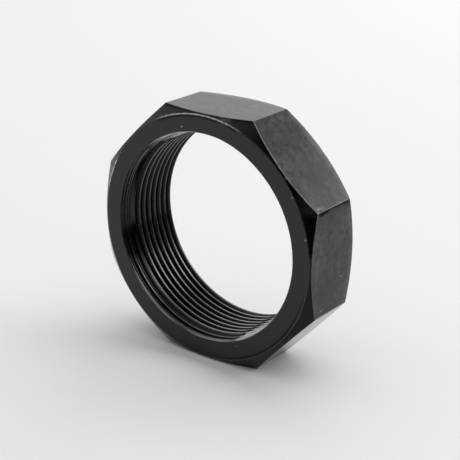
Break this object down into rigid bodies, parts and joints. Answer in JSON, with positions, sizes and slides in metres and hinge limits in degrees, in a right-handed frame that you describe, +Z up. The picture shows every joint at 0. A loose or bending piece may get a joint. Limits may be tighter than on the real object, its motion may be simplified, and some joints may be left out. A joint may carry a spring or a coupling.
{
  "type": "steering column nut",
  "caption": "Thin octagonal nut of blackened steel with turned chamfers on both sides, a wide bore and a fine internal thread.",
  "frame": {"origin": "centre of the bore, halfway between the two seat faces", "axes": "+Y along the bore axis, from the front seat face (at -Y, the side with the lead-in) to the rear one; +Z up, square to the flat opposite the one the nut stands on; +X to the right seen from the front"},
  "size_m": [0.047, 0.0144, 0.047],
  "materials": {
    "black_steel": "blackened by an oxide finish, satin, with bare bright nicks on its edges"
  },
  "bodies": {
    "root": {"nut": "black_steel"}
  },
  "joints": []
}
